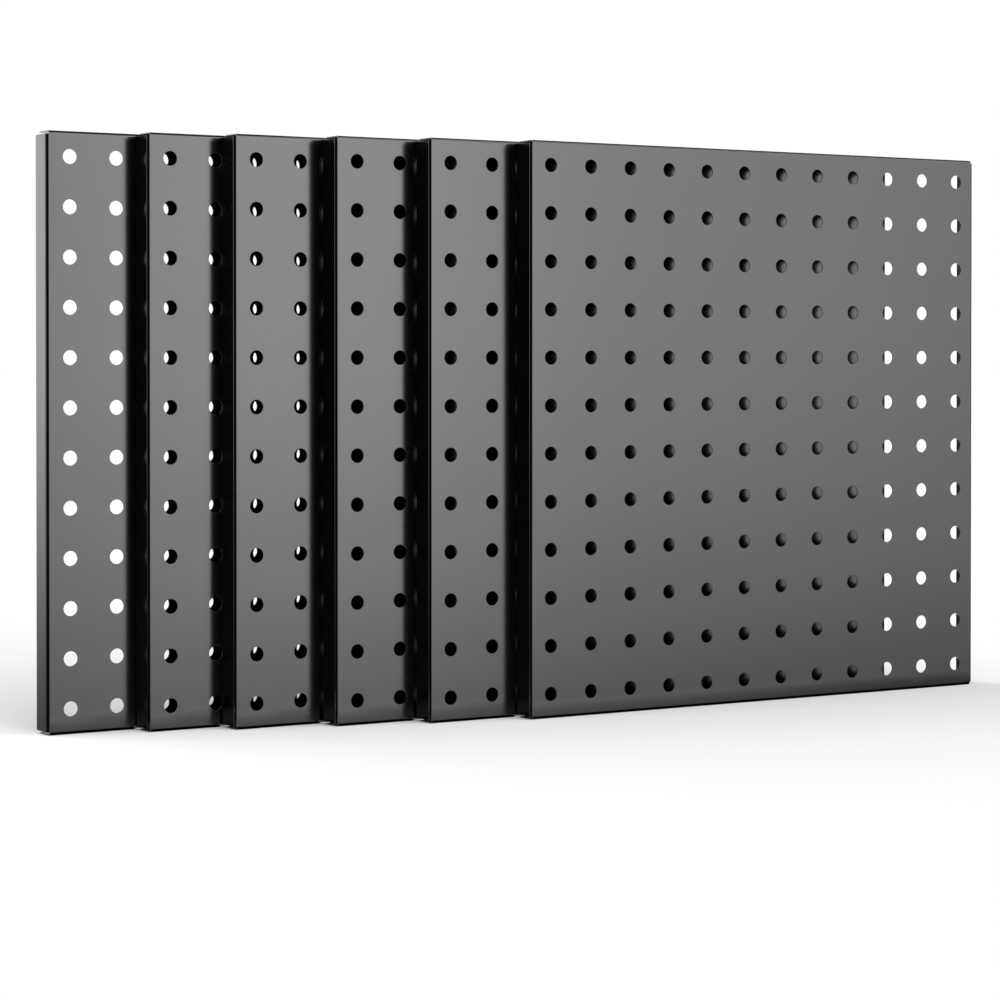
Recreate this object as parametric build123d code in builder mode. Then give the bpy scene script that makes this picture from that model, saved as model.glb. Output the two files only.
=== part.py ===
# A set of six loose steel pegboard panels, standing upright one in front of the other, each stepped to
# the right of the panel behind it. Every panel is one blank of thin sheet: a flat face punched with a
# square grid of peg holes, and four flanges folded straight back, with an open notch at each corner.
# Millimetres, +Z up. X runs along the faces, which look along -Y, and the origin is on the floor below
# the middle of the whole set.
import os

from build123d import *

# Peg holes
pitch = 25.4  # between hole centres, both ways
columns = 12
rows = 12
hole_diameter = 7.6
edge_margin = 12.9  # from the panel's outside to the nearest hole centres

# Sheet and folds
sheet = 0.5
bend_radius = 1.1  # inside of each fold
flange_depth = 13.4  # from the front of the face to the back edges of the flanges
corner_relief = 0.1  # how far each flange stops short of the fold beside it
flange_corner_radius = 1.0  # round on the back corners of the flanges

# The set, from the back to the front
names = ("rear_panel", "second_panel", "third_panel", "fourth_panel", "fifth_panel", "front_panel")
side_shifts = (48.7, 41.3, 50.3, 47.2, 53.0)  # each panel to the right of the one behind it
gaps = (1.4, 1.8, 2.3, 1.9, 1.0)  # from the flanges of each panel to the face of the one behind it

width = (columns - 1) * pitch + 2 * edge_margin
height = (rows - 1) * pitch + 2 * edge_margin
outer_radius = bend_radius + sheet
corner_notch = outer_radius + corner_relief
set_width = width + sum(side_shifts)
set_depth = len(names) * flange_depth + sum(gaps)


def channel_section(plane, span):
    """Section through the face and two opposite flanges, open towards the plane's y."""
    with BuildSketch(plane) as section:
        with BuildLine():
            FilletPolyline(
                (-span / 2, flange_depth),
                (-span / 2, 0),
                (span / 2, 0),
                (span / 2, flange_depth),
                radius=outer_radius,
            )
            offset(amount=sheet, side=Side.LEFT)
        make_face()
    return section.sketch


def folded_panel(middle_x, face_y):
    """One panel with the front of its face at face_y, standing on the floor."""
    foot = Plane((middle_x, face_y, corner_notch))
    right_end = Plane(
        (middle_x + width / 2 - corner_notch, face_y, height / 2), x_dir=(0, 0, 1), z_dir=(-1, 0, 0)
    )
    face = Plane((middle_x, face_y, height / 2), x_dir=(1, 0, 0), z_dir=(0, -1, 0))
    with BuildPart() as panel:
        # The face with its side flanges, then with its top and bottom flanges
        extrude(channel_section(foot, width), amount=height - 2 * corner_notch)
        extrude(channel_section(right_end, height), amount=width - 2 * corner_notch)
        # Round the back corners of the four flanges: the short edges there are as long as the sheet is thick
        back_edges = panel.edges().group_by(Axis.Y)[-1]
        fillet(back_edges.filter_by(lambda edge: edge.length < 2 * sheet), radius=flange_corner_radius)
        # Punch the peg holes
        with BuildSketch(face):
            with GridLocations(pitch, pitch, columns, rows):
                Circle(hole_diameter / 2)
        extrude(amount=-sheet, mode=Mode.SUBTRACT)
    return panel.part


os.makedirs("parts", exist_ok=True)
for index, name in enumerate(names):
    panel = folded_panel(
        middle_x=(width - set_width) / 2 + sum(side_shifts[:index]),
        face_y=set_depth / 2 - (index + 1) * flange_depth - sum(gaps[:index]),
    )
    panel.label = name
    export_step(panel, f"parts/{name}.step")
print(f"panel {width:.1f} x {height:.1f} x {flange_depth:.1f} mm, set {set_width:.1f} x {set_depth:.1f} mm")
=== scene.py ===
# %% [markdown]
# # Six black pegboard panels
#
# The object is a set of six loose steel panels. Each one is a thin sheet, punched with a square grid of peg
# holes and folded back along its four sides, and coated black. They stand upright on a white studio floor,
# one in front of the other, each stepped to the right of the panel behind it. The shapes come from a packed
# CAD model, so this notebook is about the rest of the portrait: the camera, the light and the coating.

# %% Load the CAD frame
import math

import bpy
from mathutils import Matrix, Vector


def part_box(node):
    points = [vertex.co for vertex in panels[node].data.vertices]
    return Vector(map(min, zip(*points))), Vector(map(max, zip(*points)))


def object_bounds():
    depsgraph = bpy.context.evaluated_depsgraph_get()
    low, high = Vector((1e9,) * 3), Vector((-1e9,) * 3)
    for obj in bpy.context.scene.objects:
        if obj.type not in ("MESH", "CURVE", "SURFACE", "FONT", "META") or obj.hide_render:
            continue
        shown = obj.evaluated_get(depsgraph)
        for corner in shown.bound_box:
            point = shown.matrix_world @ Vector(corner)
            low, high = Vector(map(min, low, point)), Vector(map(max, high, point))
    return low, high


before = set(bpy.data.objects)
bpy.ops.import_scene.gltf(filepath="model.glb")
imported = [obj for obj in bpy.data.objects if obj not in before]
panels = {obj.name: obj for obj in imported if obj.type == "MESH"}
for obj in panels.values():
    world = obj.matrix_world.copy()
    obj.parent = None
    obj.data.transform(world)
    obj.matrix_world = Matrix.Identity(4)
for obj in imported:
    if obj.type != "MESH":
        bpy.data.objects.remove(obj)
cad_low, cad_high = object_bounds()
cad_size = cad_high - cad_low
print(f"{len(panels)} panels, {cad_size.x:.3f} x {cad_size.y:.3f} x {cad_size.z:.3f} m in all")

# %% [markdown]
# ## The camera
#
# The photograph was taken from the left of the set, low down and from well back with a long lens, so that
# upright edges stay upright and the panels hardly shrink with distance. The lens points almost level, and
# the frame is slid down on the sensor, as with a shift lens, to bring the floor into the picture. Tilting
# the camera would show the floor too, but it would make the upright edges lean.

# %% Stand the camera in its place
camera_place = (-0.8206, -1.2867, 0.1913)  # metres, in the frame of the CAD model
camera_turn = math.radians(31.775)  # to the right of looking straight at the panels
camera_tilt = math.radians(0.67)  # down from level
lens_length = 100.8  # millimetres
sensor_width = 36  # millimetres
frame_drop = 0.1108  # how far the frame slides down, as a share of its height

camera = bpy.data.objects.new("camera", bpy.data.cameras.new("camera"))
bpy.context.scene.collection.objects.link(camera)
camera.location = camera_place
camera.rotation_euler = (math.pi / 2 - camera_tilt, 0, -camera_turn)
camera.data.sensor_width = sensor_width
camera.data.lens = lens_length
camera.data.shift_y = -frame_drop
bpy.context.scene.camera = camera
bpy.context.scene.view_settings.view_transform = "Standard"
print(f"camera {camera.location.length:.2f} m from the middle of the set")

# %% [markdown]
# ## Sums with sockets
#
# Light and coating are both made of shader nodes, and most of those nodes only do sums. Linking them by hand
# takes many lines, so one small class wraps a node's output and lets Python's own signs add the Math nodes.
# Any other node is added by its `node` method, which sets the node's settings first and then gives each
# input its value or its link.

# %% A socket that Python can calculate with
class Wire:
    """An output of a shader node, for use in sums."""

    def __init__(self, socket):
        self.socket = socket

    def __getitem__(self, name):
        """Another output of the same node."""
        return Wire(self.socket.node.outputs[name])

    def node(self, kind, settings=None, **inputs):
        """Add a node to the same tree: its settings first, then a value or a link for each input."""
        tree = self.socket.id_data
        added = tree.nodes.new(kind)
        for name, value in (settings or {}).items():
            setattr(added, name, value)
        for name, value in inputs.items():
            entry = added.inputs[int(name[1:]) if name[1:].isdigit() else name.replace("_", " ")]
            if isinstance(value, Wire):
                tree.links.new(value.socket, entry)
            else:
                entry.default_value = value
        return Wire(added.outputs[0]) if added.outputs else added

    def maths(self, operation, first, second=0.0):
        return self.node("ShaderNodeMath", {"operation": operation}, _0=first, _1=second)

    def __add__(self, other):
        return self.maths("ADD", self, other)

    def __radd__(self, other):
        return self.maths("ADD", other, self)

    def __sub__(self, other):
        return self.maths("SUBTRACT", self, other)

    def __rsub__(self, other):
        return self.maths("SUBTRACT", other, self)

    def __mul__(self, other):
        return self.maths("MULTIPLY", self, other)

    def ramp(self, start, end, course="LINEAR"):
        """0 at start and before it, 1 at end and after it."""
        settings = {"interpolation_type": course}
        return self.node("ShaderNodeMapRange", settings, Value=self, From_Min=start, From_Max=end)

    def eased(self, start, end):
        """A ramp with a soft beginning and a soft ending."""
        return self.ramp(start, end, "SMOOTHSTEP")


print("sums with sockets are ready")

# %% [markdown]
# ## The studio light
#
# A glossy black sheet shows hardly any colour of its own: what the camera sees is the studio, mirrored in
# the coating. So the light comes in two layers. Three large soft boxes, a key in front on the right, a
# weaker fill in front on the left and a back light behind on the left, stand high enough to stay out of the
# mirrors: they light the paper and give the set its soft shadows. The strips below them, near the floor, are
# what the panels mirror.
#
# Area lights would do, but a world shader paints all of them on the sky around the set, with edges as soft
# as wanted and no lamp to keep out of the picture. The camera itself sees plain white there, like the paper
# behind a product.

# %% Measure directions on the sky
world = bpy.data.worlds.new("studio")
bpy.context.scene.world = world
world.use_nodes = True
sky = world.node_tree
sky.nodes.clear()
direction = Wire(sky.nodes.new("ShaderNodeTexCoord").outputs["Generated"])
degrees = 180 / math.pi
height = direction.node("ShaderNodeSeparateXYZ", Vector=direction)["Z"]
upward = direction.maths("ARCSINE", height) * degrees


def leftward_of(bearing):
    """Degrees to the left of a bearing. A bearing counts to the left from straight in front of the faces."""
    turn = math.radians(bearing)
    ahead = (-math.sin(turn), -math.cos(turn), 0)
    left = (-math.cos(turn), math.sin(turn), 0)
    dots = []
    for axis in (left, ahead):
        dot = direction.node("ShaderNodeVectorMath", {"operation": "DOT_PRODUCT"}, _0=direction, _1=axis)
        dots.append(dot["Value"])
    return direction.maths("ARCTAN2", *dots) * degrees


def side_light(bearing, right_edge, left_edge, strength):
    """A light on a bearing, with its soft edges in degrees from there."""
    leftward = leftward_of(bearing)
    return leftward.eased(*right_edge) * leftward.eased(*left_edge) * strength


print(f"directions from {len(sky.nodes)} nodes")

# %% Paint the soft boxes
boxes_from = 8  # degrees up from level
key = side_light(-25, (-70, -25), (70, 25), 1.6)
fill = side_light(35, (-70, -30), (70, 30), 1.05)
back = side_light(124, (-60, -20), (60, 20), 2.3)
soft_boxes = (key + fill + back) * upward.eased(boxes_from, 25)
print(f"soft boxes from {boxes_from} degrees up, {len(sky.nodes)} nodes so far")

# %% [markdown]
# The faces mirror a wide strip on the right with a brighter middle. It fades towards the floor, sooner on its
# right, and so do the faces. A strip behind on the left shines on the rear panel's flange, the only flange in
# full view, and one beside it draws the thin grey line along each left fold. Between the strips the studio is
# dark, which is why the other flanges come out black.
#
# A walk round the set asks for more. The open backs mirror a strip behind on the right, and from higher up
# every upright surface mirrors the bright paper that the set stands on.

# %% Paint the strip that the faces mirror
face_wide = side_light(-26, (-40, -5), (36, 3), 2.45)
face_middle = side_light(-26, (-4.6, -1.6), (8.2, 2.9), 1.08)
slant = 1.1 - leftward_of(-32) * 0.008  # grows to the right, where the strip fades sooner
dark_below = -8.55  # degrees up from level
bright_above = -0.25
face_fade = direction.maths("POWER", (upward * slant).ramp(dark_below, bright_above), 0.4)
face_strip = (face_wide + face_middle) * face_fade
print(f"face strip painted, {len(sky.nodes)} nodes so far")

# %% Paint the strips that the folds, flanges and backs mirror
strips_to = 30  # degrees up from level
flange_strip = side_light(165, (-26, -17), (35, 10), 1.96)
fold_strip = side_light(100, (-8, 0), (38, 10), 2.1)
back_strip = side_light(-130, (-40, -15), (40, 15), 1.5)
side_strips = (flange_strip + fold_strip) * upward.eased(-9.5, 1.5) + back_strip
strips = (face_strip + side_strips) * upward.eased(strips_to, 10)
paper_below = upward.eased(-8.5, -13.5) * 0.9
print(f"strips up to {strips_to} degrees, {len(sky.nodes)} nodes so far")

# %% Hang the sky
lit = direction.node("ShaderNodeBackground", Strength=soft_boxes + strips + paper_below)
paper = direction.node("ShaderNodeBackground", Strength=1.02)
for background in (lit, paper):
    background.socket.node.inputs["Color"].default_value = (1, 1, 1, 1)
seen = direction.node("ShaderNodeLightPath")["Is Camera Ray"]
surface = direction.node("ShaderNodeMixShader", _0=seen, _1=lit, _2=paper)
direction.node("ShaderNodeOutputWorld", Surface=surface)
print(f"sky of {len(sky.nodes)} nodes")

# %% [markdown]
# ## The floor
#
# The set stands on white paper, lit so strongly that it comes out plain white except where the panels shade
# it. One large plane is enough. It is left out of mirror reflections, because a white floor that shone into
# the coating would take away the dark foot of the faces. The paper painted on the sky stands in for it there.

# %% Lay the paper
floor_size = 60  # metres, wider than the camera can see
bpy.ops.mesh.primitive_plane_add(size=floor_size, location=(0, 0, cad_low.z))
floor = bpy.context.object
floor.name = "paper_floor"
floor.visible_glossy = False
paper_white = bpy.data.materials.new("paper_white")
paper_white.use_nodes = True
matte = paper_white.node_tree.nodes["Principled BSDF"]
matte.inputs["Base Color"].default_value = (0.85, 0.85, 0.85, 1)
matte.inputs["Roughness"].default_value = 1.0
matte.inputs["Specular IOR Level"].default_value = 0.0
floor.data.materials.append(paper_white)
print(f"floor at z = {cad_low.z:.4f} m")

# %% [markdown]
# Close to its foot a face mirrors paper that lies in the panel's own shade. A grey card in front of each foot
# stands in for that, darker towards the right. A black card under each lower fold keeps the line dark where a
# panel meets the floor, and a dark card overhead keeps the soft boxes out of the top folds. Only mirror rays
# see the cards, so they don't show in the picture and cast no shadow.
#
# Every left fold but the rear panel's would mirror a grey card too, as a bright tip. So a tiny black card
# stands before the foot of each of them. It is turned along the line that the faces mirror, and they see
# nothing of it but its edge.

# %% Cut cards that only mirrors see
def mirror_card(name, points, brightness):
    """A card of one or more rectangles, four points each. Returns the shader that makes it glow."""
    rectangles = [range(first, first + 4) for first in range(0, len(points), 4)]
    mesh = bpy.data.meshes.new(name)
    mesh.from_pydata(points, [], rectangles)
    card = bpy.data.objects.new(name, mesh)
    bpy.context.scene.collection.objects.link(card)
    card.visible_camera = False
    card.visible_diffuse = False
    card.visible_shadow = False
    paint = bpy.data.materials.new(name)
    paint.use_nodes = True
    glow = paint.node_tree.nodes["Principled BSDF"]
    glow.inputs["Base Color"].default_value = (0, 0, 0, 1)
    glow.inputs["Specular IOR Level"].default_value = 0.0
    glow.inputs["Emission Color"].default_value = (brightness, brightness, brightness, 1)
    glow.inputs["Emission Strength"].default_value = 1.0
    mesh.materials.append(paint)
    print(f"{name}: {len(rectangles)} rectangles")
    return glow


# %% Find the feet of the faces
overhang = 0.04  # metres that the last card reaches past the front panel, because the mirrors look that way
lows = sorted((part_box(name)[0] for name in panels), key=lambda low: low.x)
rights = [low.x for low in lows[1:]] + [cad_high.x + overhang]


def foot_points(near, far):
    """Corners of a rectangle before the foot of each face in view, from near to far in front of it."""
    points = []
    for low, right in zip(lows, rights):
        for x, y in ((low.x, far), (right, far), (right, near), (low.x, near)):
            points.append((x, low.y - y, cad_low.z))
    return points


print(f"{len(lows)} feet, from x = {lows[0].x:.3f} to {rights[-1]:.3f} m")

# %% Lay cards at the feet
left_shade = 0.64
right_shade = 0.24
under_fold = 0.0015  # metres behind the front of a face, where its black card begins
contact = 0.006  # metres before the face, where the black card ends and the grey one begins
shade_end = 0.055  # metres before the face, where the grey one ends
glow = mirror_card("shaded_paper", foot_points(contact, shade_end), left_shade)
place = Wire(glow.id_data.nodes.new("ShaderNodeTexCoord").outputs["Object"])
rightward = place.node("ShaderNodeSeparateXYZ", Vector=place)["X"].ramp(-0.06, 0.25)  # metres
shade = left_shade - rightward * (left_shade - right_shade)
glow.id_data.links.new(shade.socket, glow.inputs["Emission Color"])
mirror_card("contact_shade", foot_points(-under_fold, contact), 0.0)

# %% Stand cards before the left folds
card_length = 0.0018  # metres, like all sizes of these cards
card_height = 0.009
beside_fold = 0.0003  # from a panel's left side to the rear end of its card
behind_face = 0.0007  # from its face to that end
fold_points = []
for low in lows[1:]:  # all but the rear panel
    sight = (low.x - camera_place[0]) / (low.y - camera_place[1])  # metres aside for each metre ahead
    rear = (low.x - beside_fold, low.y + behind_face)
    front = (rear[0] + sight * card_length, rear[1] - card_length)
    fold_points += [(*rear, cad_low.z), (*front, cad_low.z)]
    fold_points += [(*front, cad_low.z + card_height), (*rear, cad_low.z + card_height)]
mirror_card("fold_shade", fold_points, 0.0)

# %% Hang a dark card overhead
overhead = 0.7  # metres up, and then the card's corners seen from above
corners = [(-0.9, -0.35), (0.05, -0.35), (0.05, 1.0), (-0.9, 1.0)]
mirror_card("dark_card", [(x, y, overhead) for x, y in corners], 0.15)

# %% [markdown]
# ## The coating
#
# Dry black powder is blown onto the punched and folded panel, where a high voltage holds it, and is baked
# until it melts into one skin less than a tenth of a millimetre thick. Three things tell it from plain black
# paint. The melt freezes with a faint orange peel. It draws thin over the rims of the peg holes, which come
# out a little greyer, and smooth over the folds, which shine more sharply. And the voltage can't push powder
# into corners, so the inside of a panel stays drier and duller than its face, most of all along the folds.
#
# All of this depends on the place on a panel, so the first step finds that place in millimetres from the
# panel's lower left front corner. The panels are alike, so one material serves all six.

# %% Find the place on a panel
coat = bpy.data.materials.new("black_powder_coat")
coat.use_nodes = True
tree = coat.node_tree
tree.nodes.clear()
spot = Wire(tree.nodes.new("ShaderNodeTexCoord").outputs["Generated"])
size = [1000 * side for side in panels["front_panel"].dimensions]  # millimetres
share = spot.node("ShaderNodeSeparateXYZ", Vector=spot)
across, behind, above = (share[axis] * side for axis, side in zip("XYZ", size))
print("a panel is {:.1f} x {:.1f} x {:.1f} mm".format(*size))

# %% Mark the rims and the folds
pitch = 25.4  # millimetres between peg holes
columns = 12
hole_radius = 3.8
margin = (size[0] - (columns - 1) * pitch) / 2  # from a panel's side to its first column

off_column = spot.maths("PINGPONG", (across - margin) * (1 / pitch), 0.5) * pitch
off_row = spot.maths("PINGPONG", (above - margin) * (1 / pitch), 0.5) * pitch
off_rim = spot.maths("SQRT", off_column * off_column + off_row * off_row) - hole_radius
from_side = spot.maths("MINIMUM", across, size[0] - across)
from_end = spot.maths("MINIMUM", above, size[2] - above)
off_fold = spot.maths("MINIMUM", from_side, from_end) + behind
thin = off_rim.eased(0.7, 0.0)  # these ramps are in millimetres
fold = off_fold.eased(1.9, 1.3)
corner = off_fold.eased(9, 2)
print(f"marks from {len(tree.nodes)} nodes")

# %% [markdown]
# Which side of the sheet is it? On the outside a surface looks away from the middle of its panel, and on the
# inside it looks back at the middle. The sign of one dot product tells them apart.

# %% Mark the inside
inward = spot.node("ShaderNodeVectorMath", {"operation": "SUBTRACT"}, _0=(0.5, 0.5, 0.5), _1=spot)
facing = spot.node("ShaderNodeVectorMath", {"operation": "DOT_PRODUCT"}, _0=spot["Normal"], _1=inward)
inside = facing["Value"].eased(-0.2, 0.2)
print(f"inside marked, {len(tree.nodes)} nodes so far")

# %% [markdown]
# So thin a sheet is never quite flat. Each panel bows by about a millimetre, which no outline shows, but the
# mirrored strip slides along a bowed face and brightens one end of it. The CAD shapes stay as they are, so
# the bow goes into the surface normals, together with the orange peel, through one Bump node.

# %% Bow the sheet and let the powder melt
grain = spot["Object"]  # in metres, so the next scales are waves per metre
peel = spot.node("ShaderNodeTexNoise", Vector=grain, Scale=650, Detail=2)
peel_height = 0.002  # millimetres
crest = 322  # millimetres across, just past the right side
bow_rate = 0.0000384  # drop in millimetres at one millimetre from the crest, growing with the square
from_crest = across - crest
bow = from_crest * from_crest * -bow_rate
height_map = bow + peel["Fac"] * peel_height
millimetre = 0.001  # metres, the unit of the height map
relief = spot.node("ShaderNodeBump", Strength=1.0, Distance=millimetre, Height=height_map)
print(f"bow of {bow_rate * (size[0] / 2) ** 2:.2f} mm, orange peel of {peel_height} mm")

# %% [markdown]
# The coat is nearly black, and its gloss does the work. Slow clouds in the roughness and small patches along
# the thin edges keep it from looking like plastic. Inside and outside get a shader each, because the dry coat
# also mirrors less, and that number can't vary over one shader. The mark made above mixes them.

# %% Mix the two coats
clouds = spot.node("ShaderNodeTexNoise", Vector=grain, Scale=22, Detail=3)
patches = spot.node("ShaderNodeTexNoise", Vector=grain, Scale=160, Detail=4)["Fac"].eased(0.35, 0.65)

face_black = 0.0012  # how much light the melted coat scatters, out of 1
face_rough = 0.165  # its roughness before clouds, patches and folds change it
tone = face_black + thin * patches * 0.01
rough = face_rough + clouds["Fac"] * 0.03 + thin * patches * 0.06 - fold * 0.09
smooth_coat = spot.node("ShaderNodeBsdfPrincipled", Base_Color=tone, Roughness=rough, Normal=relief)
smooth_coat.socket.node.inputs["Specular IOR Level"].default_value = 1.0

inside_black = 0.003
inside_rough = 0.2
dry_tone = inside_black + patches * (corner + 0.5) * 0.004
dry_rough = inside_rough + clouds["Fac"] * 0.06 + corner * 0.1
dry_coat = spot.node("ShaderNodeBsdfPrincipled", Base_Color=dry_tone, Roughness=dry_rough, Normal=relief)
dry_coat.socket.node.inputs["Specular IOR Level"].default_value = 0.38

shader = spot.node("ShaderNodeMixShader", _0=inside, _1=smooth_coat, _2=dry_coat)
spot.node("ShaderNodeOutputMaterial", Surface=shader)
print(f"coating of {len(tree.nodes)} nodes")

# %% Coat the panels
for node in panels.values():
    node.data.materials.clear()
    node.data.materials.append(coat)
print(f"coated {len(panels)} panels")
